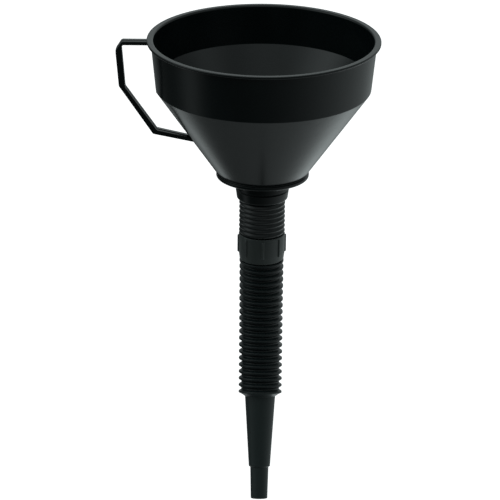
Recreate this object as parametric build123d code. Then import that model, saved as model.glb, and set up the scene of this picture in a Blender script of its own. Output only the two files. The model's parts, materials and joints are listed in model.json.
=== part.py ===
from build123d import *
import math
import os

# Filling funnel: a wide bowl with a loop handle, a lift-out strainer, and a
# flexible corrugated spout held on the bowl's neck by a ribbed union nut.
#
# Millimetres.  The origin is the centre of the rim's top plane, +Z points up
# along the bowl's axis, and the carrying handle is on the -X side.

# ---------------------------------------------------------------- bowl wall
RIM_R = 80.0  # outside of the flat lip
LIP_THICK = 1.8
LIP_EDGE_R = 0.7
WALL_TOP_R = 77.2  # outside of the wall, just under the lip
WALL_FOOT_R = 73.9  # outside of the wall, where the cone starts
WALL_FOOT_Z = -34.3
WALL_THICK = 1.8  # at the mouth
MOUTH_FILLET = 1.4  # inside edge between lip and wall
LIP_ROOT_FILLET = 0.8

# ---------------------------------------------------------------- bowl cone
CONE_END_R = 30.8  # outside of the cone, at the shoulder
CONE_END_Z = -95.8
CONE_INNER_TOP_R = 72.8  # inside, the cone starts higher than outside and is thicker there
CONE_INNER_TOP_Z = -27.3
CONE_INNER_END_R = 29.7
CONE_INNER_END_Z = -94.8  # below it, a short upright wall down to the floor
SHOULDER_R = 32.0
SHOULDER_TOP_DROP = 0.6  # slope of the shoulder's top edge
SHOULDER_TOP_EDGE_R = 0.4
SHOULDER_BOTTOM_Z = -98.9
SHOULDER_EDGE_R = 1.2
FLOOR_THICK = 1.7  # flat floor on which the strainer lies
FLOOR_EDGE_R = 0.5
FIN_HEIGHT = 2.2  # stiffening fin, measured square to the cone
FIN_WIDTH = 2.2
FIN_SUNK = 0.8  # depth to which the fin is rooted in the cone
FIN_CORNER_R = 0.6

# --------------------------------------------------------------------- neck
BORE_R = 12.0
COLLAR_R = 18.4
COLLAR_TAPER = 0.1  # less radius at the groove than at the floor
COLLAR_GROOVE_Z = -110.8
COLLAR_GROOVE_HALF = 0.4
COLLAR_GROOVE_R = 17.9
COLLAR_GROOVE_EDGE_R = 0.15
COLLAR_FOOT_Z = -114.2
COLLAR_FOOT_R = 17.9
COLLAR_FOOT_FILLET = 0.5
NECK_RIDGE_COUNT = 7
NECK_RIDGE_FIRST_Z = -118.2
NECK_RIDGE_PITCH = 3.4
NECK_RIDGE_R = 16.0
NECK_RIDGE_FILLET = 0.45
NECK_ROOT_R = 15.1
NECK_ROOT_FILLET = 0.3
SPIGOT_TOP_Z = -140.6
SPIGOT_ROOT_R = 13.9
SPIGOT_ROOT_FILLET = 0.3
SPIGOT_END_Z = -151.9
SPIGOT_END_EDGE_R = 0.5
BORE_END_EDGE_R = 0.4
THREAD_CREST_R = 14.8
THREAD_PITCH = 3.0
THREAD_TURNS = 3
THREAD_START_RISE = 1.2  # lowest turn above the spigot's end
THREAD_ROOT_HALF = 0.85
THREAD_CREST_HALF = 0.4
THREAD_SUNK = 0.4  # depth to which the thread is rooted in the spigot

# ------------------------------------------------------------- carry handle
HANDLE_DEPTH = 7.6  # along Y
# Outer and inner outline of the loop in the XZ plane: (x, z, corner radius).
HANDLE_OUTER = [
    (-75.9, -1.5, 0.0),
    (-96.9, -1.5, 2.0),
    (-101.2, -8.2, 5.0),
    (-98.9, -33.5, 2.0),
    (-75.5, -67.9, 1.5),
    (-45.6, -73.9, 0.0),
]
HANDLE_INNER = [
    (-47.9, -70.6, 0.0),
    (-50.3, -70.2, 1.2),
    (-72.8, -65.2, 1.2),
    (-94.4, -34.6, 2.0),
    (-97.0, -4.1, 1.5),
    (-75.9, -4.1, 0.0),
]

# ----------------------------------------------------------------- strainer
STRAINER_R = 29.0
STRAINER_RIM_WIDTH = 2.2
STRAINER_HEIGHT = 2.8
STRAINER_OUTER_EDGE_R = 0.8
STRAINER_INNER_EDGE_R = 0.5
STRAINER_LIFT_OFF = 0.1  # above the bowl's floor
GAUZE_THICK = 0.6
GAUZE_TUCK = 1.0  # depth to which the gauze is held in the ring
GAUZE_SLOT_GAP = 0.05

# ----------------------------------------------- union nut and sealing washer
NUT_TOP_Z = -140.9
NUT_BOTTOM_Z = -159.5
NUT_TOP_R = 16.0
NUT_TOP_EDGE_R = 0.4
NUT_WAIST_R = 16.0
NUT_WAIST_Z = -154.4
NUT_WAIST_FILLET = 1.0
NUT_FOOT_R = 15.3
NUT_FOOT_EDGE_R = 0.6
NUT_BORE_R = 15.1
NUT_BORE_EDGE_R = 0.3
NUT_LIP_TOP_Z = -156.4  # inward lip that carries the cuff's flange
NUT_LIP_R = 12.7
NUT_RIB_COUNT = 8
NUT_RIB_R = 16.9
NUT_RIB_WIDTH = 1.3
NUT_RIB_EDGE_R = 0.35
NUT_RIB_SUNK = 0.5  # depth to which a rib is rooted in the nut
NUT_RIB_TOP_Z = -142.2
NUT_RIB_BOTTOM_Z = -155.0
NUT_RIB_FIRST_DEG = 3.0  # turn of the rib pattern about Z
WASHER_TOP_Z = -152.0
WASHER_THICK = 1.6
WASHER_R = 14.5
WASHER_BORE_R = 12.2
WASHER_EDGE_R = 0.2
SEAL_GAP = 0.05

# --------------------------------------------------------------------- hose
CREST_COUNT = 21
CREST_PITCH = 4.76
CREST_FIRST_Z = -161.3
CREST_R_TOP = 15.4
CREST_R_BOTTOM = 15.1
VALLEY_R = 13.2
HOSE_WALL = 1.3
CREST_HALF_FLAT = 0.7
CREST_EDGE_R = 0.35
CREST_EXTRA_WALL = 0.4  # the wall is thicker behind each crest
CREST_INNER_EDGE_R = 0.3
JOINT_GAP = 1.2  # slot left between neighbouring rings for bending
REST_BEND_DEG = 18.0  # whole bend of the hose as it hangs, towards -Y
CUFF_FLANGE_R = 14.5
CUFF_FLANGE_THICK = 2.4
CUFF_FLANGE_EDGE_R = 0.4
CUFF_SLEEVE_R = 12.2
CUFF_BORE_R = 10.9
CUFF_BORE_EDGE_R = 0.3

# -------------------------------------------------------------------- spout
# Lengths run down the spout's own axis from the last crest.
SPOUT_NECK_S = 3.9
SPOUT_NECK_R = 10.5
SPOUT_NECK_FILLET = 0.8
SPOUT_NECK_INNER_DROP = 1.0  # the bore narrows this much lower than the outside
SPOUT_STEP_S = 52.4
SPOUT_STEP_R = 7.45
SPOUT_STEP_EDGE_R = 0.3
TIP_START_S = 53.3
TIP_START_R = 6.4
TIP_END_S = 75.4
TIP_END_R = 5.85
TIP_EDGE_R = 0.5
TIP_BORE_R = 4.8
TIP_BORE_TOP_S = 54.8
SPOUT_WALL = 1.3


def rounded_outline(corners):
    """Closed wire in the XZ plane through (x, z) or (x, z, radius) corners."""
    points = [Vector(corner[0], 0, corner[1]) for corner in corners]
    radii = [corner[2] if len(corner) > 2 else 0.0 for corner in corners]
    starts = []
    ends = []
    middles = []
    for i, point in enumerate(points):
        to_last = (points[i - 1] - point).normalized()
        to_next = (points[(i + 1) % len(points)] - point).normalized()
        half_angle = math.radians(to_last.get_angle(to_next)) / 2
        setback = radii[i] / math.tan(half_angle) if radii[i] else 0.0
        bisector = (to_last + to_next).normalized() if radii[i] else Vector(0, 0, 0)
        reach = radii[i] / math.sin(half_angle) - radii[i] if radii[i] else 0.0
        starts.append(point + to_last * setback)
        ends.append(point + to_next * setback)
        middles.append(point + bisector * reach)
    edges = []
    for i in range(len(points)):
        if radii[i]:
            edges.append(ThreePointArc(starts[i], middles[i], ends[i]))
        edges.append(Line(ends[i], starts[(i + 1) % len(points)]))
    return Wire(edges)


def turned(corners):
    """Solid of revolution about Z from an (r, z) outline with optional radii."""
    return revolve(Face(rounded_outline(corners)), Axis.Z, 360)


def cone_outer_r(z):
    """Outside radius of the bowl's cone at height z."""
    share = (WALL_FOOT_Z - z) / (WALL_FOOT_Z - CONE_END_Z)
    return WALL_FOOT_R + (CONE_END_R - WALL_FOOT_R) * share


def cone_inner_r(z):
    """Inside radius of the bowl's cone at height z."""
    share = (CONE_INNER_TOP_Z - z) / (CONE_INNER_TOP_Z - CONE_INNER_END_Z)
    return CONE_INNER_TOP_R + (CONE_INNER_END_R - CONE_INNER_TOP_R) * share


def bowl_wall():
    """Flat lip and the slightly tapered band below it."""
    return turned(
        [
            (WALL_TOP_R - WALL_THICK, 0, MOUTH_FILLET),
            (RIM_R, 0, LIP_EDGE_R),
            (RIM_R, -LIP_THICK, LIP_EDGE_R),
            (WALL_TOP_R, -LIP_THICK, LIP_ROOT_FILLET),
            (WALL_FOOT_R, WALL_FOOT_Z),
            (cone_inner_r(WALL_FOOT_Z), WALL_FOOT_Z),
            (CONE_INNER_TOP_R, CONE_INNER_TOP_Z),
        ]
    )


def cone_fin():
    """Thin stiffening fin down the cone on the handle's side."""
    half_angle = math.atan2(WALL_FOOT_R - CONE_END_R, WALL_FOOT_Z - CONE_END_Z)
    stand_off = FIN_HEIGHT / math.cos(half_angle)
    corner_z = WALL_FOOT_Z - stand_off
    outline = rounded_outline(
        [
            (-(WALL_FOOT_R - FIN_SUNK), WALL_FOOT_Z),
            (-WALL_FOOT_R, WALL_FOOT_Z),
            (-(cone_outer_r(corner_z) + stand_off), corner_z, FIN_CORNER_R),
            (-SHOULDER_R, CONE_END_Z),
            (-(CONE_END_R - FIN_SUNK), CONE_END_Z),
        ]
    )
    return extrude(Face(outline), FIN_WIDTH / 2, dir=(0, 1, 0), both=True)


def bowl_cone():
    """Cone, shoulder and the flat floor that carries the strainer."""
    floor_top_z = SHOULDER_BOTTOM_Z + FLOOR_THICK
    hollow_cone = turned(
        [
            (cone_inner_r(WALL_FOOT_Z), WALL_FOOT_Z),
            (WALL_FOOT_R, WALL_FOOT_Z),
            (CONE_END_R, CONE_END_Z),
            (SHOULDER_R, CONE_END_Z - SHOULDER_TOP_DROP, SHOULDER_TOP_EDGE_R),
            (SHOULDER_R, SHOULDER_BOTTOM_Z, SHOULDER_EDGE_R),
            (BORE_R, SHOULDER_BOTTOM_Z),
            (BORE_R, floor_top_z, FLOOR_EDGE_R),
            (CONE_INNER_END_R, floor_top_z, FLOOR_EDGE_R),
            (CONE_INNER_END_R, CONE_INNER_END_Z, FLOOR_EDGE_R),
        ]
    )
    return hollow_cone + cone_fin()


def neck_ridges():
    """Outline of the ridged stretch of the neck, from top to bottom."""
    corners = []
    half_pitch = NECK_RIDGE_PITCH / 2
    for i in range(NECK_RIDGE_COUNT):
        crest_z = NECK_RIDGE_FIRST_Z - i * NECK_RIDGE_PITCH
        corners.append((NECK_ROOT_R, crest_z + half_pitch, NECK_ROOT_FILLET))
        corners.append((NECK_RIDGE_R, crest_z, NECK_RIDGE_FILLET))
    return corners


def spigot_thread():
    """Helical ridge of the male thread on the neck's end."""
    sunk_r = SPIGOT_ROOT_R - THREAD_SUNK
    reach = THREAD_CREST_R - sunk_r
    start_z = SPIGOT_END_Z + THREAD_START_RISE
    path = Helix(THREAD_PITCH, THREAD_PITCH * THREAD_TURNS, sunk_r, center=(0, 0, start_z))
    section_plane = Plane(origin=path @ 0, x_dir=(1, 0, 0), z_dir=path % 0)
    section = section_plane * Polygon(
        (0, -THREAD_ROOT_HALF),
        (reach, -THREAD_CREST_HALF),
        (reach, THREAD_CREST_HALF),
        (0, THREAD_ROOT_HALF),
        align=None,
    )
    return sweep(section, path, is_frenet=True)


def outlet_neck():
    """Collar, ridged neck and threaded spigot below the bowl's floor."""
    groove_edge_r = COLLAR_R - COLLAR_TAPER
    body = turned(
        [
            (BORE_R, SHOULDER_BOTTOM_Z),
            (COLLAR_R, SHOULDER_BOTTOM_Z),
            (groove_edge_r, COLLAR_GROOVE_Z + COLLAR_GROOVE_HALF, COLLAR_GROOVE_EDGE_R),
            (COLLAR_GROOVE_R, COLLAR_GROOVE_Z, COLLAR_GROOVE_EDGE_R),
            (groove_edge_r, COLLAR_GROOVE_Z - COLLAR_GROOVE_HALF, COLLAR_GROOVE_EDGE_R),
            (COLLAR_FOOT_R, COLLAR_FOOT_Z, COLLAR_FOOT_FILLET),
        ]
        + neck_ridges()
        + [
            (NECK_ROOT_R, SPIGOT_TOP_Z),
            (SPIGOT_ROOT_R, SPIGOT_TOP_Z, SPIGOT_ROOT_FILLET),
            (SPIGOT_ROOT_R, SPIGOT_END_Z, SPIGOT_END_EDGE_R),
            (BORE_R, SPIGOT_END_Z, BORE_END_EDGE_R),
        ]
    )
    return body + spigot_thread()


def carry_handle(neighbours):
    """Flat-strip loop from the rim to the cone, trimmed where it meets them."""
    outline = Face(rounded_outline(HANDLE_OUTER + HANDLE_INNER))
    loop = extrude(outline, HANDLE_DEPTH / 2, dir=(0, 1, 0), both=True)
    for neighbour in neighbours:
        loop = loop - neighbour
    return loop


def strainer_bottom_z():
    """Height of the strainer's underside as it lies in the bowl."""
    return SHOULDER_BOTTOM_Z + FLOOR_THICK + STRAINER_LIFT_OFF


def strainer_ring():
    """Rolled brass rim of the lift-out strainer."""
    bottom = strainer_bottom_z()
    inner_r = STRAINER_R - STRAINER_RIM_WIDTH
    middle = bottom + STRAINER_HEIGHT / 2
    half_slot = GAUZE_THICK / 2 + GAUZE_SLOT_GAP
    slot_r = inner_r + GAUZE_TUCK + GAUZE_SLOT_GAP
    return turned(
        [
            (inner_r, bottom, STRAINER_INNER_EDGE_R),
            (STRAINER_R, bottom, STRAINER_OUTER_EDGE_R),
            (STRAINER_R, bottom + STRAINER_HEIGHT, STRAINER_OUTER_EDGE_R),
            (inner_r, bottom + STRAINER_HEIGHT, STRAINER_INNER_EDGE_R),
            (inner_r, middle + half_slot),
            (slot_r, middle + half_slot),
            (slot_r, middle - half_slot),
            (inner_r, middle - half_slot),
        ]
    )


def strainer_gauze():
    """Plain disc in the place of the woven brass gauze."""
    middle = strainer_bottom_z() + STRAINER_HEIGHT / 2
    disc_r = STRAINER_R - STRAINER_RIM_WIDTH + GAUZE_TUCK
    return turned(
        [
            (0, middle - GAUZE_THICK / 2),
            (disc_r, middle - GAUZE_THICK / 2),
            (disc_r, middle + GAUZE_THICK / 2),
            (0, middle + GAUZE_THICK / 2),
        ]
    )


def nut_rib(turn_deg):
    """One grip rib on the outside of the nut, with rounded outer corners."""
    length = NUT_RIB_TOP_Z - NUT_RIB_BOTTOM_Z
    depth = NUT_RIB_R - NUT_WAIST_R + NUT_RIB_SUNK
    centre = Pos(NUT_RIB_R - depth / 2, 0, NUT_RIB_BOTTOM_Z + length / 2)
    rib = centre * Box(depth, NUT_RIB_WIDTH, length)
    outer_edges = rib.edges().filter_by(Axis.Z).sort_by(Axis.X)[-2:]
    rib = fillet(outer_edges, NUT_RIB_EDGE_R)
    return Rot(0, 0, turn_deg) * rib


def union_nut():
    """Ribbed nut: a bore over the spigot and an inward lip under the cuff's flange."""
    nut = turned(
        [
            (NUT_BORE_R, NUT_TOP_Z, NUT_BORE_EDGE_R),
            (NUT_TOP_R, NUT_TOP_Z, NUT_TOP_EDGE_R),
            (NUT_WAIST_R, NUT_WAIST_Z, NUT_WAIST_FILLET),
            (NUT_FOOT_R, NUT_BOTTOM_Z, NUT_FOOT_EDGE_R),
            (NUT_LIP_R, NUT_BOTTOM_Z, NUT_BORE_EDGE_R),
            (NUT_LIP_R, NUT_LIP_TOP_Z, NUT_BORE_EDGE_R),
            (NUT_BORE_R, NUT_LIP_TOP_Z),
        ]
    )
    step_deg = 360 / NUT_RIB_COUNT
    for i in range(NUT_RIB_COUNT):
        nut += nut_rib(NUT_RIB_FIRST_DEG - 90 + i * step_deg)
    return nut


def sealing_washer():
    """Flat rubber washer between the neck's end and the cuff's flange."""
    bottom = WASHER_TOP_Z - WASHER_THICK
    return turned(
        [
            (WASHER_BORE_R, WASHER_TOP_Z, WASHER_EDGE_R),
            (WASHER_R, WASHER_TOP_Z, WASHER_EDGE_R),
            (WASHER_R, bottom, WASHER_EDGE_R),
            (WASHER_BORE_R, bottom, WASHER_EDGE_R),
        ]
    )


def hose_cuff():
    """Flange caught by the nut and the sleeve down to the first convolution."""
    top = WASHER_TOP_Z - WASHER_THICK - SEAL_GAP
    sleeve_end = CREST_FIRST_Z + ring_half_height()
    return turned(
        [
            (CUFF_BORE_R, top, CUFF_BORE_EDGE_R),
            (CUFF_FLANGE_R, top, CUFF_FLANGE_EDGE_R),
            (CUFF_FLANGE_R, top - CUFF_FLANGE_THICK, CUFF_FLANGE_EDGE_R),
            (CUFF_SLEEVE_R, top - CUFF_FLANGE_THICK),
            (CUFF_SLEEVE_R, sleeve_end),
            (CUFF_BORE_R, sleeve_end),
        ]
    )


def ring_half_height():
    """Half the length of one rigid ring, less its share of the bending slot."""
    return (CREST_PITCH - JOINT_GAP) / 2


def hose_tilt_deg(crest):
    """Tilt of crest number 1 to 21 away from the bowl's axis, at rest."""
    return REST_BEND_DEG * (crest - 1) / (CREST_COUNT - 1)


def hose_direction(crest):
    """Unit vector down the hose at a crest."""
    tilt = math.radians(hose_tilt_deg(crest))
    return Vector(0, -math.sin(tilt), -math.cos(tilt))


def crest_centre(crest):
    """Centre of a crest's plane on the bent axis of the hose."""
    point = Vector(0, 0, CREST_FIRST_Z)
    for k in range(1, crest):
        point += hose_direction(k) * (CREST_PITCH / 2)
        point += hose_direction(k + 1) * (CREST_PITCH / 2)
    return point


def valley_pivot(valley):
    """Point on the axis about which the hose bends between crest n and n + 1."""
    return crest_centre(valley) + hose_direction(valley) * (CREST_PITCH / 2)


def crest_location(crest):
    """Place and tilt of a piece that is drawn about its own crest at the origin."""
    return Location(crest_centre(crest), (-hose_tilt_deg(crest), 0, 0))


def hose_ring(crest):
    """One convolution of the corrugated hose, as a thin V-shaped ring."""
    share = (crest - 1) / (CREST_COUNT - 1)
    crest_r = CREST_R_TOP + (CREST_R_BOTTOM - CREST_R_TOP) * share
    half = ring_half_height()
    inner_valley_r = VALLEY_R - HOSE_WALL
    inner_crest_r = crest_r - HOSE_WALL - CREST_EXTRA_WALL
    ring = turned(
        [
            (inner_valley_r, half),
            (VALLEY_R, half),
            (crest_r, CREST_HALF_FLAT, CREST_EDGE_R),
            (crest_r, -CREST_HALF_FLAT, CREST_EDGE_R),
            (VALLEY_R, -half),
            (inner_valley_r, -half),
            (inner_crest_r, 0, CREST_INNER_EDGE_R),
        ]
    )
    return crest_location(crest) * ring


def spout():
    """Tapered spout with a stepped tip, drawn from the last crest downwards."""
    top = ring_half_height()
    bore_top_r = VALLEY_R - HOSE_WALL
    inner_neck_s = SPOUT_NECK_S + SPOUT_NECK_INNER_DROP
    nozzle = turned(
        [
            (VALLEY_R, -top),
            (SPOUT_NECK_R, -SPOUT_NECK_S, SPOUT_NECK_FILLET),
            (SPOUT_STEP_R, -SPOUT_STEP_S, SPOUT_STEP_EDGE_R),
            (TIP_START_R, -TIP_START_S, SPOUT_STEP_EDGE_R),
            (TIP_END_R, -TIP_END_S, TIP_EDGE_R),
            (TIP_BORE_R, -TIP_END_S, SPOUT_STEP_EDGE_R),
            (TIP_BORE_R, -TIP_BORE_TOP_S),
            (SPOUT_STEP_R - SPOUT_WALL, -SPOUT_STEP_S),
            (SPOUT_NECK_R - SPOUT_WALL, -inner_neck_s, SPOUT_NECK_FILLET),
            (bore_top_r, -top),
        ]
    )
    return crest_location(CREST_COUNT) * nozzle


def build_nodes():
    """Every sub-part of the funnel, by node name."""
    wall = bowl_wall()
    cone = bowl_cone()
    nodes = {
        "bowl_wall": wall,
        "bowl_cone": cone,
        "outlet_neck": outlet_neck(),
        "carry_handle": carry_handle([wall, cone]),
        "strainer_ring": strainer_ring(),
        "strainer_gauze": strainer_gauze(),
        "union_nut": union_nut(),
        "sealing_washer": sealing_washer(),
        "hose_cuff": hose_cuff(),
        "spout": spout(),
    }
    for crest in range(1, CREST_COUNT + 1):
        nodes[f"hose_ring_{crest:02d}"] = hose_ring(crest)
    return nodes


def main():
    os.makedirs("parts", exist_ok=True)
    for name, shape in build_nodes().items():
        shape.label = name
        export_step(shape, f"parts/{name}.step")


if __name__ == "__main__":
    main()
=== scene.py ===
import json
import math

import bmesh
import bpy
import numpy as np
from mathutils import Matrix, Vector
from mathutils.geometry import tessellate_polygon


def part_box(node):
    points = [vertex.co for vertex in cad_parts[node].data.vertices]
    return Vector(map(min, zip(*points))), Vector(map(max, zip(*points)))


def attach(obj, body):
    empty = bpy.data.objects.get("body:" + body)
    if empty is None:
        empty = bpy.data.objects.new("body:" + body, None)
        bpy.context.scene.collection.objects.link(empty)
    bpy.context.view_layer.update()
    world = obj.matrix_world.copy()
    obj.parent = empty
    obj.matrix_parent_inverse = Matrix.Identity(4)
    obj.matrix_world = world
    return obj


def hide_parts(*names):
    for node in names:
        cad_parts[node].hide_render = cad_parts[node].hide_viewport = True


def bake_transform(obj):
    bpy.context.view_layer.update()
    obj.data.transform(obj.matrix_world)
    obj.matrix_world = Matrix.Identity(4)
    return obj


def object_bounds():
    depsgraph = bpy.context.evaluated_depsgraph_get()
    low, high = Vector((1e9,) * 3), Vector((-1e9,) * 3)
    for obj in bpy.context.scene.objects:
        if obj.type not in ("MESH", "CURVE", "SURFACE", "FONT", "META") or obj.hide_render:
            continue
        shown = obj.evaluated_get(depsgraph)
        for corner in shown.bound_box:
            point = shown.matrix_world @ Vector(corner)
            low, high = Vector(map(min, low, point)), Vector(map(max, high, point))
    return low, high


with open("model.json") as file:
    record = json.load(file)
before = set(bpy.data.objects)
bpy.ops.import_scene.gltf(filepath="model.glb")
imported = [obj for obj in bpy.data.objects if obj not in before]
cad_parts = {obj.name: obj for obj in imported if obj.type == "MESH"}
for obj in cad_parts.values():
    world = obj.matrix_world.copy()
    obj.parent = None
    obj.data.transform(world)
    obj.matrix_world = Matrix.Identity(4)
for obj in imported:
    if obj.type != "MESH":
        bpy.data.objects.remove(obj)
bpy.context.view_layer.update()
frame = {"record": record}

# Funnel: a bowl with a loop handle and a lift-out strainer, and below its
# neck a union nut that holds a bending hose with a tapered spout.

MM = 0.001

# ------------------------------------------------------------------ sizes
# Places come from the CAD frame; the finer sizes below are millimetres.
wall_low, wall_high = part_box("bowl_wall")
cone_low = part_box("bowl_cone")[0]
neck_low, neck_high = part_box("outlet_neck")
nut_low, nut_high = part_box("union_nut")
washer_low, washer_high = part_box("sealing_washer")
ring_low, ring_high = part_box("strainer_ring")
gauze_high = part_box("strainer_gauze")[1]
cuff_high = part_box("hose_cuff")[1]
handle_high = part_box("carry_handle")[1]

# Bowl: lip, wall, cone and shoulder
RIM_R = wall_high.x / MM
LIP_THICK = 1.8
WALL_TOP_R = 77.2
WALL_FOOT_R = 73.9
WALL_FOOT_Z = wall_low.z / MM
WALL_THICK = 1.8
CONE_END_R = 30.8
CONE_INNER_TOP_R = 72.8
CONE_INNER_TOP_Z = WALL_FOOT_Z + 7.0
CONE_INNER_END_R = 29.7
SHOULDER_R = 32.0
SHOULDER_Z = cone_low.z / MM
CONE_END_Z = SHOULDER_Z + 3.1
SHOULDER_TOP_Z = CONE_END_Z - 0.6
FLOOR_Z = SHOULDER_Z + 1.7  # on which the strainer lies
SEAT_TOP_Z = CONE_END_Z + 1.0  # top of the upright wall round the strainer

# Fin down the cone, under the handle
FIN_STAND_OFF = 2.69  # measured level from the cone
FIN_HALF_WIDTH = 1.1
FIN_EDGE_R = 0.35
FIN_DRAFT = 0.05
FIN_OVERLAP = 0.5  # past the wall's foot and the cone's end
FIN_WALL_ROOT = 1.2  # depth of its root inside the wall
FIN_CONE_ROOT = 0.4  # and inside the cone's end
FIN_PROUD = 0.05  # of the wall, at its foot

# Neck: collar, ridges and the threaded spigot inside the nut
BORE_R = 12.0
COLLAR_R = neck_high.x / MM
COLLAR_GROOVE_Z = SHOULDER_Z - 8.8
COLLAR_GROOVE_DEPTH = 0.7
COLLAR_GROOVE_HALF = 0.7
COLLAR_FOOT_Z = SHOULDER_Z - 15.3
COLLAR_FOOT_R = 17.6
SPIGOT_END_Z = neck_low.z / MM
SPIGOT_TOP_Z = SPIGOT_END_Z + 11.3
SPIGOT_R = 13.9
RIDGE_COUNT = 7
RIDGE_FIRST_Z = SHOULDER_Z - 19.3
RIDGE_PITCH = 3.4
RIDGE_R = 16.0
RIDGE_ROOT_R = 15.1
RIDGE_ROUND = 0.4
THREAD_PITCH = 3.0
THREAD_TURNS = 3.0
THREAD_CREST_R = 14.8
THREAD_START = 1.2  # above the spigot's end
THREAD_CREST_HALF = 0.4
THREAD_ROOT_HALF = 0.75
THREAD_SUNK = 0.3
THREAD_STEPS = 72  # to a turn
THREAD_RUN_OUT = 18  # steps in which the thread rises and dies away

# Loop handle
HANDLE_HALF_DEPTH = handle_high.y / MM
HANDLE_EDGE_R = 0.4
HANDLE_DRAFT = 0.07
PARTING_RIDGE = 0.08
PARTING_BASE_HALF = 0.22
PARTING_TOP_HALF = 0.07
HANDLE_OUTLINE = [
    (-75.9, -1.5, 0.0),
    (-96.9, -1.5, 2.0),
    (-101.2, -8.2, 5.0),
    (-98.9, -33.5, 2.0),
    (-75.5, -67.9, 1.5),
    (-45.6, -73.9, 0.0),
    (-47.9, -70.6, 0.0),
    (-50.3, -70.2, 1.2),
    (-72.8, -65.2, 1.2),
    (-94.4, -34.6, 2.0),
    (-97.0, -4.1, 1.5),
    (-75.9, -4.1, 0.0),
]

# Strainer
STRAINER_RING_R = ring_high.x / MM
STRAINER_Z = (ring_low.z + ring_high.z) / 2 / MM
STRAINER_HALF = (ring_high.z - ring_low.z) / 2 / MM
STRAINER_RING_WALL = 2.2
STRAINER_SEAM_DEPTH = 0.22
GAUZE_SLOT_HALF = 0.35
GAUZE_SLOT_DEPTH = 1.05
GAUZE_R = gauze_high.x / MM - 0.1
WIRE_R = 0.14
WIRE_PITCH = 1.3
WIRE_SIDES = 6

# Union nut
NUT_TOP_Z = nut_high.z / MM
NUT_BOTTOM_Z = nut_low.z / MM
NUT_TOP_R = 16.0
NUT_WAIST_R = 16.0
NUT_WAIST_Z = NUT_BOTTOM_Z + 5.1
NUT_FOOT_R = 15.3
NUT_BORE_R = 15.1
NUT_LIP_R = 12.7
NUT_LIP_TOP_Z = NUT_BOTTOM_Z + 3.1
NUT_RIB_COUNT = 8
NUT_RIB_HEIGHT = 0.9
NUT_RIB_TOP_Z = NUT_TOP_Z - 1.3
NUT_RIB_BOTTOM_Z = NUT_BOTTOM_Z + 4.5
NUT_RIB_FIRST_DEG = 3.0
NUT_RIB_END = 0.5  # length in which a rib rounds off at either end
NUT_RIB_END_STEPS = (0.0, 0.06, 0.16, 0.3, NUT_RIB_END)
NUT_RIB_FOOT = ((0.07, 0.3), (0.10, 0.1), (0.12, 0.0))  # inward lean and height at the ribs' feet
NUT_RIB_LEAST_R = NUT_FOOT_R + 0.4  # nothing further in carries ribs
NUT_PANEL_DEG = (6, 9, 12, 15, 18, 20.5)  # steps from a rib towards the next
# Cross-section of a rib: distance from its middle in mm, share of its height
NUT_RIB_SECTION = (
    (0.0, 1.0),
    (0.32, 1.0),
    (0.46, 0.96),
    (0.56, 0.84),
    (0.62, 0.62),
    (0.66, 0.3),
    (0.74, 0.08),
    (0.95, 0.0),
)

# Sealing washer
WASHER_BORE_R = 12.2
WASHER_ROUND = 0.25

# Hose and its cuff
CREST_COUNT = 21
CREST_R_TOP = 15.4
CREST_R_BOTTOM = 15.1
CREST_LAND = 0.6
CREST_ROUND = 0.5
VALLEY_R = 13.2
VALLEY_LAND = 0.45
VALLEY_ROUND = 0.6
HOSE_WALL = 1.1
CREST_WALL = HOSE_WALL + 0.3
VALLEY_INNER_LAND = VALLEY_LAND * 0.6
VALLEY_INNER_ROUND = 0.3
CUFF_BORE_R = 10.9
CUFF_BODY_R = 12.2
CUFF_FLANGE = 2.4

# Spout: s is the distance down its axis from the last crest
SPOUT_NECK_S = 3.2
SPOUT_NECK_R = 10.5
SPOUT_STEP_S = 52.4
SPOUT_STEP_R = 7.45
TIP_START_S = 53.3
TIP_START_R = 6.4
TIP_END_S = 75.4
TIP_END_R = 5.85
TIP_BORE_R = 4.8
SPOUT_WALL = 1.3
SPOUT_ROOT_SHARE = 0.62  # of half the hose's pitch, down to the last crest's foot

BOWL_SEGMENTS = 256
HOSE_SEGMENTS = 144
STRAINER_SEGMENTS = 160
WASHER_SEGMENTS = 128
SHARP_DEG = 40.0  # edges that turn by more than this are shaded sharp
HOSE_ARCS = {"step_deg": 18, "support": 0.12}  # for rounding the hose's outlines


# ------------------------------------------------------------ mesh helpers
def rounded(corners, step_deg=15.0, support=0.25):
    """Points (x, z) along a closed outline of (x, z, radius) corners.

    Each rounded corner becomes an arc, with a point close by on the straights
    beside it, so that their shading stays flat.
    """
    runs = []
    for i, (x, z, radius) in enumerate(corners):
        here = Vector((x, z))
        if not radius:
            runs.append([here])
            continue
        back = (Vector(corners[i - 1][:2]) - here).normalized()
        ahead = (Vector(corners[(i + 1) % len(corners)][:2]) - here).normalized()
        half = back.angle(ahead) / 2
        middle = here + (back + ahead).normalized() * (radius / math.sin(half))
        start = here + back * (radius / math.tan(half)) - middle
        end = here + ahead * (radius / math.tan(half)) - middle
        steps = max(2, math.ceil(math.degrees(start.angle(end)) / step_deg))
        runs.append([middle + start.slerp(end, k / steps) * radius for k in range(steps + 1)])
    points = []
    for i, run in enumerate(runs):
        points.extend(run)
        next_run = runs[(i + 1) % len(runs)]
        gap = next_run[0] - run[-1]
        if gap.length < 4 * support:
            continue
        if len(run) > 1:
            points.append(run[-1] + gap.normalized() * support)
        if len(next_run) > 1:
            points.append(next_run[0] - gap.normalized() * support)
    return points


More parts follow.
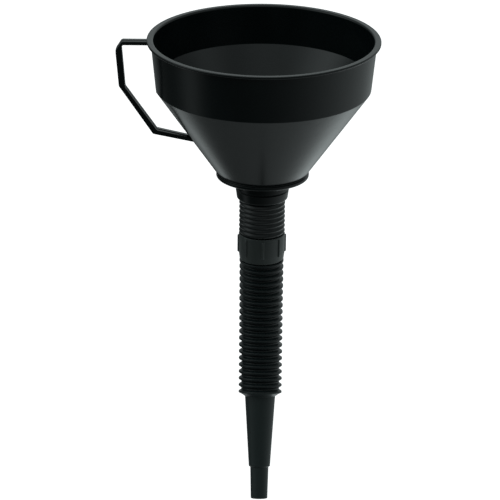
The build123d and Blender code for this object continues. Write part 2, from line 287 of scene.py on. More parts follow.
def finish_mesh(name, verts, faces, material):
    """New object from millimetre points, shaded smooth with sharp edges kept."""
    mesh = bpy.data.meshes.new(name)
    mesh.from_pydata([Vector(v) * MM for v in verts], [], faces)
    work = bmesh.new()
    work.from_mesh(mesh)
    inside_out = work.calc_volume(signed=True) < 0
    work.free()
    if inside_out:
        mesh.flip_normals()
    mesh.shade_smooth()
    mesh.set_sharp_from_angle(angle=math.radians(SHARP_DEG))
    mesh.materials.append(material)
    obj = bpy.data.objects.new(name, mesh)
    bpy.context.scene.collection.objects.link(obj)
    return obj


def ring_faces(rings, count, closed_rings=True):
    """Quads between neighbouring rings of count points each."""
    faces = []
    for ring in range(rings if closed_rings else rings - 1):
        a = ring * count
        b = ((ring + 1) % rings) * count
        for i in range(count):
            j = (i + 1) % count
            faces.append((a + i, a + j, b + j, b + i))
    return faces


def outline_area(points):
    """Signed area of a closed (x, z) outline."""
    total = 0.0
    for i, point in enumerate(points):
        total += points[i - 1][0] * point[1] - point[0] * points[i - 1][1]
    return total / 2


def lathe(name, outline, material, segments=BOWL_SEGMENTS, angles=None, radius_at=None, place=None):
    """Closed ring solid: an (r, z) outline turned about Z.

    radius_at(r, z, angle) may shape the radius, and place(point) may move
    each finished point.
    """
    if angles is None:
        angles = [2 * math.pi * k / segments for k in range(segments)]
    if outline_area(outline) > 0:
        outline = outline[::-1]
    verts = []
    for angle in angles:
        for r, z in outline:
            radius = radius_at(r, z, angle) if radius_at else r
            point = Vector((radius * math.cos(angle), radius * math.sin(angle), z))
            verts.append(place(point) if place else point)
    return finish_mesh(name, verts, ring_faces(len(angles), len(outline)), material)


def miter_normals(points):
    """Outward normals of a counter-clockwise outline, scaled for offsetting."""
    normals = []
    for i, point in enumerate(points):
        before = (point - points[i - 1]).normalized()
        after = (points[(i + 1) % len(points)] - point).normalized()
        square_before = Vector((before.y, -before.x))
        square_after = Vector((after.y, -after.x))
        both = square_before + square_after
        normals.append(both / max(0.3, 1 + square_before.dot(square_after)))
    return normals


def slab(name, corners, half_depth, edge_r, draft, ridge, material):
    """Flat moulded bar: an (x, z) outline given depth along Y.

    Its edges are rounded, its sides lean by the draft, and a fine parting
    ridge runs round the middle.
    """
    beside = 0.25  # from a rounded edge to the row that keeps the flat beside it flat
    edge_steps = 4
    outline = rounded(corners)
    if outline_area(outline) < 0:
        outline = outline[::-1]
    normals = miter_normals(outline)
    layers = [(-edge_r - beside, -half_depth)]
    for k in range(edge_steps + 1):
        turn = math.radians(90 * k / edge_steps)
        layers.append((-edge_r + edge_r * math.sin(turn), -half_depth + edge_r * (1 - math.cos(turn))))
    layers.append((0.05 * draft, -half_depth + edge_r + beside))
    layers.append((draft, -PARTING_BASE_HALF))
    layers.append((draft + ridge, -PARTING_TOP_HALF))
    layers += [(offset, -y) for offset, y in layers[::-1]]
    verts = []
    for offset, y in layers:
        for point, normal in zip(outline, normals):
            moved = point + normal * offset
            verts.append((moved.x, y, moved.y))
    count = len(outline)
    faces = ring_faces(len(layers), count, closed_rings=False)
    last_row = len(verts) - count
    for a, b, c in tessellate_polygon([[Vector(v) for v in verts[:count]]]):
        faces.append((c, b, a))
        faces.append((last_row + a, last_row + b, last_row + c))
    return finish_mesh(name, verts, faces, material)


def tube(points, radius, sides, verts, faces):
    """Adds a capped round bar along the points to verts and faces."""
    first = len(verts)
    count = len(points)
    for i, point in enumerate(points):
        along = (points[min(i + 1, count - 1)] - points[max(i - 1, 0)]).normalized()
        side = along.cross(Vector((0, 0, 1))).normalized()
        up = side.cross(along)
        for k in range(sides):
            turn = 2 * math.pi * k / sides
            verts.append(point + (side * math.cos(turn) + up * math.sin(turn)) * radius)
    for i in range(count - 1):
        for k in range(sides):
            a = first + i * sides + k
            b = first + i * sides + (k + 1) % sides
            faces.append((a, b, b + sides, a + sides))
    faces.append(tuple(first + k for k in range(sides))[::-1])
    faces.append(tuple(first + (count - 1) * sides + k for k in range(sides)))


# --------------------------------------------------------------- materials
class Shader:
    """A material's node tree, with short calls for adding and joining nodes."""

    def __init__(self, name):
        self.material = bpy.data.materials.new(name)
        self.material.use_nodes = True
        self.tree = self.material.node_tree
        self.surface = self.tree.nodes["Principled BSDF"]
        self.coords = self.tree.nodes.new("ShaderNodeTexCoord").outputs["Object"]

    def node(self, kind, inputs, **settings):
        """New node: sockets among the inputs are linked and other values set."""
        new = self.tree.nodes.new(kind)
        for key, value in settings.items():
            setattr(new, key, value)
        for key, value in inputs.items():
            if isinstance(value, bpy.types.NodeSocket):
                self.tree.links.new(value, new.inputs[key])
            else:
                new.inputs[key].default_value = value
        return new

    def noise(self, scale, detail=2.0, rough=0.5, stretch=None, distortion=0.0):
        """Noise whose cells are about 1 / scale metres across."""
        vector = self.coords
        if stretch:
            vector = self.node("ShaderNodeMapping", {"Vector": vector, "Scale": stretch}).outputs[0]
        inputs = {
            "Vector": vector,
            "Scale": scale,
            "Detail": detail,
            "Roughness": rough,
            "Distortion": distortion,
        }
        return self.node("ShaderNodeTexNoise", inputs).outputs["Fac"]

    def remap(self, value, low, high, to_low, to_high):
        """The value with low..high stretched to to_low..to_high, and held there."""
        inputs = {"Value": value, "From Min": low, "From Max": high, "To Min": to_low, "To Max": to_high}
        return self.node("ShaderNodeMapRange", inputs).outputs[0]

    def maths(self, operation, a, b):
        return self.node("ShaderNodeMath", {0: a, 1: b}, operation=operation).outputs[0]

    def blend(self, factor, a, b):
        """Colour a where the factor is 0 and colour b where it is 1."""
        mix = self.tree.nodes.new("ShaderNodeMix")
        mix.data_type = "RGBA"
        self.tree.links.new(factor, mix.inputs["Factor"])
        colour_inputs = [socket for socket in mix.inputs if socket.type == "RGBA"]
        for socket, value in zip(colour_inputs, (a, b)):
            if isinstance(value, bpy.types.NodeSocket):
                self.tree.links.new(value, socket)
            else:
                socket.default_value = (*value, 1.0)
        return [socket for socket in mix.outputs if socket.type == "RGBA"][0]

    def bump(self, height, distance, normal=None):
        """Normal bent by the height, which is worth the distance in metres."""
        inputs = {"Height": height, "Distance": distance}
        if normal is not None:
            inputs["Normal"] = normal
        return self.node("ShaderNodeBump", inputs).outputs["Normal"]

    def plug(self, socket, value):
        self.tree.links.new(value, self.surface.inputs[socket])


def moulded_plastic(name, dark, pale, roughness, grain):
    """Satin black plastic: fine mould grain, flow marks, dust, scratches and rubbed edges."""
    scuffs = 0.5
    flow = (1.0, 1.0, 0.25)
    shader = Shader(name)
    shader.surface.inputs["IOR"].default_value = 1.5
    clouds = shader.noise(38, detail=4, rough=0.55, stretch=flow)
    dust = shader.remap(shader.noise(420, detail=3, rough=0.6), 0.62, 0.78, 0.0, 1.0)
    edges = shader.tree.nodes.new("ShaderNodeNewGeometry").outputs["Pointiness"]
    rubbed = shader.remap(edges, 0.53, 0.62, 0.0, 1.0)
    streaks = shader.noise(90, detail=5, rough=0.7, stretch=(1.0, 1.0, 14.0), distortion=0.6)
    scratches = shader.remap(streaks, 0.60, 0.70, 0.0, 1.0)
    colour = shader.blend(shader.remap(clouds, 0.3, 0.7, 0.0, 1.0), dark, pale)
    worn = shader.maths("MULTIPLY", shader.maths("ADD", dust, rubbed), 0.35 * scuffs)
    colour = shader.blend(worn, colour, tuple(2.6 * c for c in pale))
    shader.plug("Base Color", colour)
    gloss = shader.remap(clouds, 0.3, 0.7, roughness - 0.025, roughness + 0.035)
    dulled = shader.maths("MULTIPLY", shader.maths("ADD", scratches, dust), 0.07 * scuffs)
    gloss = shader.maths("ADD", gloss, dulled)
    shader.plug("Roughness", gloss)
    skin = shader.bump(shader.noise(1500, detail=2), 0.000006 * grain)
    skin = shader.bump(shader.noise(110, detail=2), 0.00005 * grain, normal=skin)
    skin = shader.bump(scratches, 0.00001 * scuffs, normal=skin)
    shader.plug("Normal", skin)
    return shader.material


def rubber(name):
    """Dull black rubber, slightly mottled."""
    shader = Shader(name)
    shader.surface.inputs["IOR"].default_value = 1.5
    clouds = shader.noise(300, detail=4)
    shader.plug("Base Color", shader.blend(clouds, (0.012, 0.012, 0.013), (0.028, 0.028, 0.029)))
    shader.plug("Roughness", shader.remap(clouds, 0.3, 0.7, 0.62, 0.8))
    shader.plug("Normal", shader.bump(shader.noise(2600, detail=2), 0.00002))
    return shader.material


def brass(name, roughness, tarnish):
    """Drawn brass with darker tarnish in soft patches and fine draw lines."""
    shader = Shader(name)
    shader.surface.inputs["Metallic"].default_value = 1.0
    patches = shader.noise(160, detail=5, rough=0.6)
    lines = shader.noise(900, detail=2, stretch=(1.0, 1.0, 6.0))
    shade = shader.remap(patches, 0.35, 0.75, 0.0, tarnish)
    shader.plug("Base Color", shader.blend(shade, (0.78, 0.57, 0.27), (0.36, 0.23, 0.09)))
    shader.plug("Roughness", shader.remap(patches, 0.3, 0.7, roughness, roughness + 0.18))
    shader.plug("Normal", shader.bump(lines, 0.00001))
    return shader.material


def make_bowl_plastic():
    """Plastic of the bowl, neck and handle, the glossiest and blackest."""
    dark = (0.0030, 0.0066, 0.0070)
    pale = (0.0048, 0.0092, 0.0096)
    return moulded_plastic("bowl_plastic", dark, pale, roughness=0.20, grain=1.0)


def make_hose_plastic():
    """Plastic of the bending hose and its cuff."""
    dark = (0.0075, 0.0135, 0.0145)
    pale = (0.0115, 0.0185, 0.0195)
    return moulded_plastic("hose_plastic", dark, pale, roughness=0.31, grain=1.0)


def make_spout_plastic():
    """Plastic of the spout, duller and with a coarser grain."""
    dark = (0.0300, 0.0420, 0.0420)
    pale = (0.0370, 0.0510, 0.0510)
    return moulded_plastic("spout_plastic", dark, pale, roughness=0.38, grain=1.2)


def make_nut_plastic():
    """Plastic of the union nut, the palest and dullest, with a soft sheen at its edges."""
    dark = (0.0460, 0.0570, 0.0550)
    pale = (0.0540, 0.0670, 0.0640)
    material = moulded_plastic("nut_plastic", dark, pale, roughness=0.42, grain=1.0)
    surface = material.node_tree.nodes["Principled BSDF"]
    surface.inputs["IOR"].default_value = 1.62
    surface.inputs["Sheen Weight"].default_value = 0.60
    surface.inputs["Sheen Roughness"].default_value = 0.30
    return material


# -------------------------------------------------------------------- bowl
def neck_ridges():
    """Corners of the neck's ridges, from the top down."""
    corners = []
    for k in range(RIDGE_COUNT):
        crest_z = RIDGE_FIRST_Z - k * RIDGE_PITCH
        corners.append((RIDGE_ROOT_R, crest_z + RIDGE_PITCH / 2, RIDGE_ROUND))
        corners.append((RIDGE_R, crest_z, RIDGE_ROUND))
    return corners


def make_bowl(material):
    """Bowl moulding in one closed skin: lip, wall, cone, shoulder, neck and spigot."""
    lip_and_cone = [
        (WALL_TOP_R - WALL_THICK, 0, 1.4),
        (RIM_R, 0, 0.7),
        (RIM_R, -LIP_THICK, 0.7),
        (WALL_TOP_R, -LIP_THICK, 0.8),
        (WALL_FOOT_R, WALL_FOOT_Z, 0.5),
        (CONE_END_R, CONE_END_Z, 0.3),
    ]
    shoulder_and_collar = [
        (SHOULDER_R, SHOULDER_TOP_Z, 0.4),
        (SHOULDER_R, SHOULDER_Z, 1.2),
        (COLLAR_R, SHOULDER_Z, 0.8),
        (COLLAR_R, COLLAR_GROOVE_Z + COLLAR_GROOVE_HALF, 0.3),
        (COLLAR_R - COLLAR_GROOVE_DEPTH, COLLAR_GROOVE_Z, 0.2),
        (COLLAR_R, COLLAR_GROOVE_Z - COLLAR_GROOVE_HALF, 0.3),
        (COLLAR_FOOT_R, COLLAR_FOOT_Z, 1.2),
    ]
    spigot = [
        (RIDGE_ROOT_R, SPIGOT_TOP_Z, 0.0),
        (SPIGOT_R, SPIGOT_TOP_Z, 0.3),
        (SPIGOT_R, SPIGOT_END_Z, 0.5),
        (BORE_R, SPIGOT_END_Z, 0.4),
    ]
    inside = [
        (BORE_R, FLOOR_Z, 0.5),
        (CONE_INNER_END_R, FLOOR_Z, 0.5),
        (CONE_INNER_END_R, SEAT_TOP_Z, 0.5),
        (CONE_INNER_TOP_R, CONE_INNER_TOP_Z, 0.6),
    ]
    outline = rounded(lip_and_cone + shoulder_and_collar + neck_ridges() + spigot + inside)
    return lathe("bowl", outline, material)


def make_fin(material):
    """Thin fin whose edge runs on from the wall's line to a line along the cone."""
    cone_slope = (WALL_FOOT_R - CONE_END_R) / (WALL_FOOT_Z - CONE_END_Z)
    wall_slope = (WALL_TOP_R - WALL_FOOT_R) / (-LIP_THICK - WALL_FOOT_Z)
    drop = FIN_STAND_OFF / (cone_slope - wall_slope)
    outline = [
        (-(WALL_FOOT_R - FIN_WALL_ROOT), WALL_FOOT_Z + FIN_OVERLAP, 0.0),
        (-WALL_FOOT_R - FIN_PROUD, WALL_FOOT_Z + FIN_OVERLAP, 0.0),
        (-(WALL_FOOT_R - wall_slope * drop), WALL_FOOT_Z - drop, 0.8),
        (-SHOULDER_R, CONE_END_Z - FIN_OVERLAP, 0.5),
        (-(CONE_END_R - FIN_CONE_ROOT), CONE_END_Z - FIN_OVERLAP, 0.0),
    ]
    return slab("cone_fin", outline, FIN_HALF_WIDTH, FIN_EDGE_R, FIN_DRAFT, 0.0, material)


def make_handle(material):
    """Loop handle with a parting ridge round it, rooted in the wall and the cone."""
    return slab(
        "carry_handle_loop",
        HANDLE_OUTLINE,
        HANDLE_HALF_DEPTH,
        HANDLE_EDGE_R,
        HANDLE_DRAFT,
        PARTING_RIDGE,
        material,
    )


def make_thread(material):
    """The spigot's thread: a ridge wound up from near its end, dying away at both ends."""
    count = int(THREAD_TURNS * THREAD_STEPS)
    verts = []
    for k in range(count + 1):
        turn = 2 * math.pi * k / THREAD_STEPS
        z = SPIGOT_END_Z + THREAD_START + THREAD_PITCH * k / THREAD_STEPS
        rise = min(1.0, k / THREAD_RUN_OUT, (count - k) / THREAD_RUN_OUT)
        crest = SPIGOT_R + (THREAD_CREST_R - SPIGOT_R) * rise
        upper_half = [
            (crest, THREAD_CREST_HALF),
            (SPIGOT_R, THREAD_ROOT_HALF),
            (SPIGOT_R - THREAD_SUNK, THREAD_ROOT_HALF + 0.1),
        ]
        section = [(r, -dz) for r, dz in upper_half[::-1]] + upper_half
        for r, dz in section:
            verts.append((r * math.cos(turn), r * math.sin(turn), z + dz))
    corners = len(section)
    faces = ring_faces(count + 1, corners, closed_rings=False)
    faces.append(tuple(range(corners))[::-1])
    faces.append(tuple(count * corners + k for k in range(corners)))
    return finish_mesh("spigot_thread", verts, faces, material)


# ---------------------------------------------------------------- strainer
def make_strainer_rim(material):
    """Rolled strip with a seam round its outside and a slot inside for the gauze."""
    outer_r = STRAINER_RING_R
    inner_r = outer_r - STRAINER_RING_WALL
    slot_r = inner_r + GAUZE_SLOT_DEPTH
    low, high = STRAINER_Z - STRAINER_HALF, STRAINER_Z + STRAINER_HALF
    slot_low, slot_high = STRAINER_Z - GAUZE_SLOT_HALF, STRAINER_Z + GAUZE_SLOT_HALF
    outline = rounded(
        [
            (inner_r, low, 0.5),
            (outer_r, low, 0.8),
            (outer_r, slot_low, 0.2),
            (outer_r - STRAINER_SEAM_DEPTH, STRAINER_Z, 0.15),
            (outer_r, slot_high, 0.2),
            (outer_r, high, 0.8),
            (inner_r, high, 0.5),
            (inner_r, slot_high, 0.0),
            (slot_r, slot_high, 0.0),
            (slot_r, slot_low, 0.0),
            (inner_r, slot_low, 0.0),
        ]
    )
    return lathe("strainer_rim", outline, material, segments=STRAINER_SEGMENTS)


def make_gauze(material):
    """Woven wires: each goes over and under the ones that cross it."""
    verts = []
    faces = []
    wire_count = int(GAUZE_R / WIRE_PITCH)
    for direction in (0, 1):
        for k in range(-wire_count, wire_count + 1):
            offset = k * WIRE_PITCH
            reach = math.sqrt(GAUZE_R**2 - offset**2)
            samples = max(4, int(2 * reach / (WIRE_PITCH / 4)))
            sign = 1 if (k + direction) % 2 else -1
            points = []
            for i in range(samples + 1):
                along = -reach + 2 * reach * i / samples
                lift = sign * WIRE_R * math.cos(math.pi * along / WIRE_PITCH)
                flat = (along, offset) if direction == 0 else (offset, along)
                points.append(Vector((*flat, STRAINER_Z + lift)))
            tube(points, WIRE_R, WIRE_SIDES, verts, faces)
    return finish_mesh("strainer_mesh", verts, faces, material)


# --------------------------------------------------------------------- nut
rib_spacing = 360 / NUT_RIB_COUNT
rib_centres = [math.radians(NUT_RIB_FIRST_DEG - 90 + rib_spacing * k) for k in range(NUT_RIB_COUNT)]


def rib_profile(distance):
    """Share of the rib's height at a distance round the nut from its middle, in mm."""
    distances, shares = zip(*NUT_RIB_SECTION)
    return float(np.interp(abs(distance), distances, shares))


def rib_window(z):
    """Share of the rib's height at a height on the nut."""
    into = min(NUT_RIB_TOP_Z - z, z - NUT_RIB_BOTTOM_Z)
    share = min(1.0, max(0.0, into / NUT_RIB_END))
    return math.sqrt(1 - (1 - share) ** 2)


def nut_radius(r, z, angle):
    """Radius of the nut's side with the ribs standing on it."""
    if r < NUT_RIB_LEAST_R:
        return r
    nearest = min(rib_centres, key=lambda c: abs(math.remainder(angle - c, 2 * math.pi)))
    distance = math.remainder(angle - nearest, 2 * math.pi) * NUT_TOP_R
    return r + NUT_RIB_HEIGHT * rib_profile(distance) * rib_window(z)


def nut_angles():
    """Angles of the nut's mesh: close together across the ribs, wide between them."""
    rib_steps = [side * distance / NUT_TOP_R for distance, _ in NUT_RIB_SECTION[1:] for side in (-1, 1)]
    panel_steps = [side * math.radians(step) for step in NUT_PANEL_DEG for side in (-1, 1)]
    half_way = math.radians(rib_spacing / 2)
    steps = sorted([0.0, half_way] + rib_steps + panel_steps)
    return [centre + step for centre in rib_centres for step in steps]


def make_nut(material):
    """Union nut: a ribbed side tapering at its foot, bored from the top to an inner lip."""
    row_z = [NUT_RIB_TOP_Z - step for step in NUT_RIB_END_STEPS]
    row_z += [NUT_RIB_BOTTOM_Z + step for step in NUT_RIB_END_STEPS[::-1]]
    side = []
    for z in row_z:
        if z > NUT_WAIST_Z:
            share = (NUT_TOP_Z - z) / (NUT_TOP_Z - NUT_WAIST_Z)
            side.append((NUT_TOP_R + (NUT_WAIST_R - NUT_TOP_R) * share, z, 0.0))
    outline = rounded(
        [(NUT_BORE_R, NUT_TOP_Z, 0.3), (NUT_TOP_R, NUT_TOP_Z, 0.4)]
        + side
        + [
            (NUT_WAIST_R, NUT_WAIST_Z, 0.0),
        ]
        + [(NUT_WAIST_R - lean, NUT_RIB_BOTTOM_Z + rise, 0.0) for lean, rise in NUT_RIB_FOOT]
        + [
            (NUT_FOOT_R, NUT_BOTTOM_Z, 0.6),
            (NUT_LIP_R, NUT_BOTTOM_Z, 0.3),
            (NUT_LIP_R, NUT_LIP_TOP_Z, 0.3),
            (NUT_BORE_R, NUT_LIP_TOP_Z, 0.0),
        ]
    )
    return lathe("union_nut_ribbed", outline, material, angles=nut_angles(), radius_at=nut_radius)


# ------------------------------------------------------------------ washer
def make_washer(material):
    """Flat sealing ring between the spigot and the cuff."""
    outer_r = washer_high.x / MM
    low, high = washer_low.z / MM, washer_high.z / MM
    outline = rounded(
        [
            (WASHER_BORE_R, high, WASHER_ROUND),
            (outer_r, high, WASHER_ROUND),
            (outer_r, low, WASHER_ROUND),
            (WASHER_BORE_R, low, WASHER_ROUND),
        ]
    )
    return lathe("seal_washer", outline, material, segments=WASHER_SEGMENTS)


# -------------------------------------------------------------------- hose
def down_at(tilt):
    """Direction down the hose's axis where it leans by the tilt."""
    return Vector((0, -math.sin(tilt), -math.cos(tilt)))


def crest_tilts(valleys):
    """Lean of the axis at each crest, which lies half way between two valleys."""
    tilts = [0.0]
    for above_it, below_it in zip(valleys, valleys[1:]):
        step = below_it - above_it
        tilts.append(math.atan2(-step.y, -step.z))
    tilts.append(2 * tilts[-1] - tilts[-2])
    return tilts


# The hinges' own places give the bent axis: one valley between each pair of crests.
hinges = [
    joint
    for joint in frame["record"]["behaviour"]["joints"]
    if joint["name"].startswith(("hose_bend", "hose_flex"))
]
valleys = [Vector(joint["pos_m"]) / MM for joint in hinges]
half_pitch = (valleys[1] - valleys[0]).length / 2
tilts = crest_tilts(valleys)
crests = [valley - down_at(tilt) * half_pitch for valley, tilt in zip(valleys, tilts)]
crests.append(valleys[-1] + down_at(tilts[-1]) * half_pitch)
last = CREST_COUNT - 1


def crest_radius(k):
    return CREST_R_TOP + (CREST_R_BOTTOM - CREST_R_TOP) * k / last


def crest_frame(k):
    """Place of a point drawn about crest k, with z up its axis."""
    return Matrix.Translation(crests[k]) @ Matrix.Rotation(-tilts[k], 4, "X")


def corrugation(k):
    """Outline of the tube wall from crest k, at z 0, down to the next crest."""
    top_r = crest_radius(k)
    end_r = crest_radius(k + 1)
    pitch = 2 * half_pitch
    return rounded(
        [
            (top_r, 0, 0.0),
            (top_r, -CREST_LAND, CREST_ROUND),
            (VALLEY_R, -half_pitch + VALLEY_LAND, VALLEY_ROUND),
            (VALLEY_R, -half_pitch - VALLEY_LAND, VALLEY_ROUND),
            (end_r, -pitch + CREST_LAND, CREST_ROUND),
            (end_r, -pitch, 0.0),
            (end_r - CREST_WALL, -pitch, 0.0),
            (VALLEY_R - HOSE_WALL, -half_pitch - VALLEY_INNER_LAND, VALLEY_INNER_ROUND),
            (VALLEY_R - HOSE_WALL, -half_pitch + VALLEY_INNER_LAND, VALLEY_INNER_ROUND),
            (top_r - CREST_WALL, 0, 0.0),
        ],
        **HOSE_ARCS,
    )


def make_hose_skin(k, material):
    """The wall between crest k and the next, bent about the valley between them."""
    turn = tilts[k + 1] - tilts[k]
    to_crest = crest_frame(k)
    pivot = Vector((0, 0, -half_pitch))

    def bent(point):
        share = min(1.0, max(0.0, -point.z / (2 * half_pitch)))
        share = share * share * (3 - 2 * share)
        swung = Matrix.Rotation(-turn * share, 3, "X") @ (point - pivot) + pivot
        return to_crest @ swung

    name = f"hose_skin_{k + 1:02d}"
    return lathe(name, corrugation(k), material, segments=HOSE_SEGMENTS, place=bent)


def make_cuff(material):
    """Flanged cuff, down to the hose's first crest."""
    flange_r = cuff_high.x / MM
    top_z = cuff_high.z / MM
    crest_r = crest_radius(0)
    crest_z = crests[0].z
    root_z = crest_z + half_pitch - VALLEY_INNER_LAND
    outline = rounded(
        [
            (CUFF_BORE_R, top_z, 0.3),
            (flange_r, top_z, 0.4),
            (flange_r, top_z - CUFF_FLANGE, 0.4),
            (CUFF_BODY_R, top_z - CUFF_FLANGE, 0.3),
            (CUFF_BODY_R, root_z, 0.3),
            (crest_r, crest_z + CREST_LAND, CREST_ROUND),
            (crest_r, crest_z, 0.0),
            (crest_r - CREST_WALL, crest_z, 0.0),
            (CUFF_BORE_R, root_z, 0.3),
        ],
        **HOSE_ARCS,
    )
    return lathe("hose_cuff_skin", outline, material, segments=HOSE_SEGMENTS)


def make_spout(material):
    """Tapered spout from the last crest to the stepped tip."""
    crest_r = crest_radius(last)
    outline = rounded(
        [
            (crest_r, 0, 0.0),
            (crest_r, -CREST_LAND, CREST_ROUND),
            (VALLEY_R, -half_pitch * SPOUT_ROOT_SHARE, 0.8),
            (SPOUT_NECK_R + 0.1, -SPOUT_NECK_S, 0.6),
            (SPOUT_STEP_R, -SPOUT_STEP_S, 0.3),
            (TIP_START_R, -TIP_START_S, 0.3),
            (TIP_END_R, -TIP_END_S, 0.5),
            (TIP_BORE_R, -TIP_END_S, 0.3),
            (TIP_BORE_R, -TIP_START_S - 1.5, 0.0),
            (SPOUT_STEP_R - SPOUT_WALL, -SPOUT_STEP_S, 0.0),
            (SPOUT_NECK_R - SPOUT_WALL, -SPOUT_NECK_S - 1.0, 0.8),
            (crest_r - CREST_WALL, 0, 0.0),
        ]
    )
    to_crest = crest_frame(last)
    return lathe(
        "hose_spout",
        outline,
        material,
        segments=HOSE_SEGMENTS,
        place=lambda point: to_crest @ point,
    )


# ---------------------------------------------------------------- assembly
bowl_plastic = make_bowl_plastic()
hose_plastic = make_hose_plastic()
spout_plastic = make_spout_plastic()
nut_plastic = make_nut_plastic()
seal_rubber = rubber("seal_rubber")
rim_brass = brass("rim_brass", roughness=0.26, tarnish=0.6)
wire_brass = brass("wire_brass", roughness=0.34, tarnish=0.8)

bowl = make_bowl(bowl_plastic)
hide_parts("bowl_wall", "bowl_cone", "outlet_neck")
fin = make_fin(bowl_plastic)
handle = make_handle(bowl_plastic)
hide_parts("carry_handle")
thread = make_thread(bowl_plastic)
strainer_rim = make_strainer_rim(rim_brass)
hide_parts("strainer_ring")
gauze = make_gauze(wire_brass)
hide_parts("strainer_gauze")
nut = make_nut(nut_plastic)
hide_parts("union_nut")
washer = make_washer(seal_rubber)
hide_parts("sealing_washer")

for k in range(CREST_COUNT - 1):
    skin = make_hose_skin(k, hose_plastic)
    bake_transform(skin)
    if k > 0:
        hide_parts(f"hose_ring_{k + 1:02d}")
cuff = make_cuff(hose_plastic)
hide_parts("hose_cuff", "hose_ring_01")
spout = make_spout(spout_plastic)
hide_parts(f"hose_ring_{CREST_COUNT:02d}", "spout")

for piece in (bowl, fin, handle, thread):
    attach(piece, "bowl")
for piece, body, slot in (
    (strainer_rim, "strainer", "strainer_brass"),
    (gauze, "strainer", "gauze_brass"),
    (nut, "union_nut", "nut_plastic"),
    (washer, "sealing_washer", "seal_rubber"),
    (cuff, "hose_head", "hose_plastic"),
    (spout, "spout", "hose_plastic"),
):
    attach(piece, body)


# ------------------------------------------------------- floor and backdrop
SWEEP_R = 7.0
SWEEP_RISE = 6.0
SWEEP_COVE = 2.0  # radius of the curve between floor and backdrop
SWEEP_PEAK = 2.0  # height of the roof's middle over its edge
SWEEP_GAP = 0.02  # between the spout's tip and the floor
SWEEP_SEGMENTS = 96
COVE_STEPS = 12


def make_paper():
    """White paper that glows, so that the backdrop stays even."""
    paper = bpy.data.materials.new("paper_white")
    paper.use_nodes = True
    surface = paper.node_tree.nodes["Principled BSDF"]
    surface.inputs["Base Color"].default_value = (0.8, 0.8, 0.8, 1)
    surface.inputs["Roughness"].default_value = 1.0
    surface.inputs["Specular IOR Level"].default_value = 0.0
    surface.inputs["Emission Color"].default_value = (1, 1, 1, 1)
    surface.inputs["Emission Strength"].default_value = 0.9
    return paper


def sweep_profile(floor_z):
    """Line (r, z) of the sweep from its floor up to its roof's edge."""
    flat_r = SWEEP_R - SWEEP_COVE
    line = [(flat_r, floor_z)]
    for k in range(1, COVE_STEPS + 1):
        turn = math.radians(90 * k / COVE_STEPS)
        r = flat_r + SWEEP_COVE * math.sin(turn)
        line.append((r, floor_z + SWEEP_COVE * (1 - math.cos(turn))))
    line.append((SWEEP_R, floor_z + SWEEP_RISE))
    return line


def make_sweep(floor_z):
    """Round paper room: floor, cove, wall and a low roof, seen only by the camera."""
    line = sweep_profile(floor_z)
    around = SWEEP_SEGMENTS
    verts = [Vector((0, 0, floor_z))]
    for r, z in line:
        for k in range(around):
            turn = 2 * math.pi * k / around
            verts.append(Vector((r * math.cos(turn), r * math.sin(turn), z)))
    peak = len(verts)
    verts.append(Vector((0, 0, floor_z + SWEEP_RISE + SWEEP_PEAK)))
    faces = [(0, 1 + k, 1 + (k + 1) % around) for k in range(around)]
    for row in range(len(line) - 1):
        for k in range(around):
            a = 1 + row * around + k
            b = 1 + row * around + (k + 1) % around
            faces.append((a, a + around, b + around, b))
    roof_edge = peak - around
    faces += [(roof_edge + k, peak, roof_edge + (k + 1) % around) for k in range(around)]
    mesh = bpy.data.meshes.new("sweep")
    mesh.from_pydata(verts, [], faces)
    mesh.shade_smooth()
    mesh.materials.append(make_paper())
    sweep = bpy.data.objects.new("sweep", mesh)
    bpy.context.scene.collection.objects.link(sweep)
    sweep.visible_diffuse = False
    sweep.visible_glossy = False
    sweep.visible_transmission = False
    sweep.visible_shadow = False
    return sweep


sweep = make_sweep(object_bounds()[0].z - SWEEP_GAP)

# ------------------------------------------------------------------- light
# Soft glows of the studio round the object: direction as azimuth (0 is the
# camera's side, 90 is +X) and elevation, half width and strength.
GLOWS = [
    ("table below", 0, -90, 31, 0.18),
    ("right side", 106, -28, 44, 0.40),
    ("low right, behind", 158, -48, 14, 0.95),
    ("low left, behind", -153, -44, 9, 0.60),
    ("low left", -84, -28, 11, 0.22),
    ("behind, above", 173, 22, 27, 0.50),
    ("left, above", -84, 36, 24, 0.80),
    ("right, above", 78, 44, 16, 0.34),
    ("overhead", 0, 66, 28, 0.50),
]
AMBIENT = 0.006
LIGHT_COLOUR = (0.90, 1.0, 1.0, 1)


def direction_of(azimuth_deg, elevation_deg):
    """Unit vector towards a glow."""
    azimuth, elevation = math.radians(azimuth_deg), math.radians(elevation_deg)
    level = math.cos(elevation)
    return (math.sin(azimuth) * level, -math.cos(azimuth) * level, math.sin(elevation))


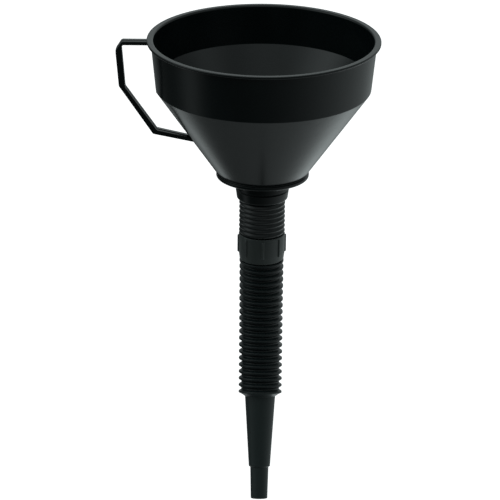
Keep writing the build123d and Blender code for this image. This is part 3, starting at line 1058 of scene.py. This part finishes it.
def make_studio_light():
    """World whose brightness is the sum of the glows and a little ambient light."""
    world = bpy.data.worlds.new("studio")
    world.use_nodes = True
    tree = world.node_tree

    def multiply_add(value, factor, extra):
        """Node for value * factor + extra, where extra is a number or a socket."""
        node = tree.nodes.new("ShaderNodeMath")
        node.operation = "MULTIPLY_ADD"
        tree.links.new(value, node.inputs[0])
        node.inputs[1].default_value = factor
        if isinstance(extra, bpy.types.NodeSocket):
            tree.links.new(extra, node.inputs[2])
        else:
            node.inputs[2].default_value = extra
        return node.outputs[0]

    direction = tree.nodes.new("ShaderNodeTexCoord").outputs["Generated"]
    total = AMBIENT
    for name, azimuth, elevation, half_width, strength in GLOWS:
        dot = tree.nodes.new("ShaderNodeVectorMath")
        dot.operation = "DOT_PRODUCT"
        dot.label = name
        dot.inputs[1].default_value = direction_of(azimuth, elevation)
        tree.links.new(direction, dot.inputs[0])
        sharpness = math.log(2) / (1 - math.cos(math.radians(half_width)))
        fall = tree.nodes.new("ShaderNodeMath")
        fall.operation = "EXPONENT"
        tree.links.new(multiply_add(dot.outputs["Value"], sharpness, -sharpness), fall.inputs[0])
        total = multiply_add(fall.outputs[0], strength, total)
    background = tree.nodes["Background"]
    background.inputs["Color"].default_value = LIGHT_COLOUR
    tree.links.new(total, background.inputs["Strength"])
    return world


bpy.context.scene.world = make_studio_light()

# ------------------------------------------------------------------ camera
CAMERA_DISTANCE = 2.5523
CAMERA_ELEVATION = math.radians(21.55)
CAMERA_ROLL = math.radians(0.58)
CAMERA_RIGHT = -0.00810  # how far its line of sight passes the middle of the rim, level
CAMERA_UP = -0.14345  # and upwards
CAMERA_LENS = 270.0


def make_camera():
    """Camera in front of the funnel, above it and slightly rolled."""
    ahead = Vector((0, math.cos(CAMERA_ELEVATION), -math.sin(CAMERA_ELEVATION)))
    level = Vector((1, 0, 0))
    above = Vector((0, math.sin(CAMERA_ELEVATION), math.cos(CAMERA_ELEVATION)))
    right = level * math.cos(CAMERA_ROLL) + above * math.sin(CAMERA_ROLL)
    up = above * math.cos(CAMERA_ROLL) - level * math.sin(CAMERA_ROLL)
    data = bpy.data.cameras.new("camera")
    data.sensor_width = 36.0
    data.lens = CAMERA_LENS
    data.clip_start = 0.05
    data.clip_end = 30.0
    camera = bpy.data.objects.new("camera", data)
    bpy.context.scene.collection.objects.link(camera)
    position = level * CAMERA_RIGHT + above * CAMERA_UP - ahead * CAMERA_DISTANCE
    turned = Matrix((right, up, -ahead)).transposed().to_4x4()
    camera.matrix_world = Matrix.Translation(position) @ turned
    return camera


bpy.context.scene.camera = make_camera()
bpy.context.scene.view_settings.view_transform = "Standard"
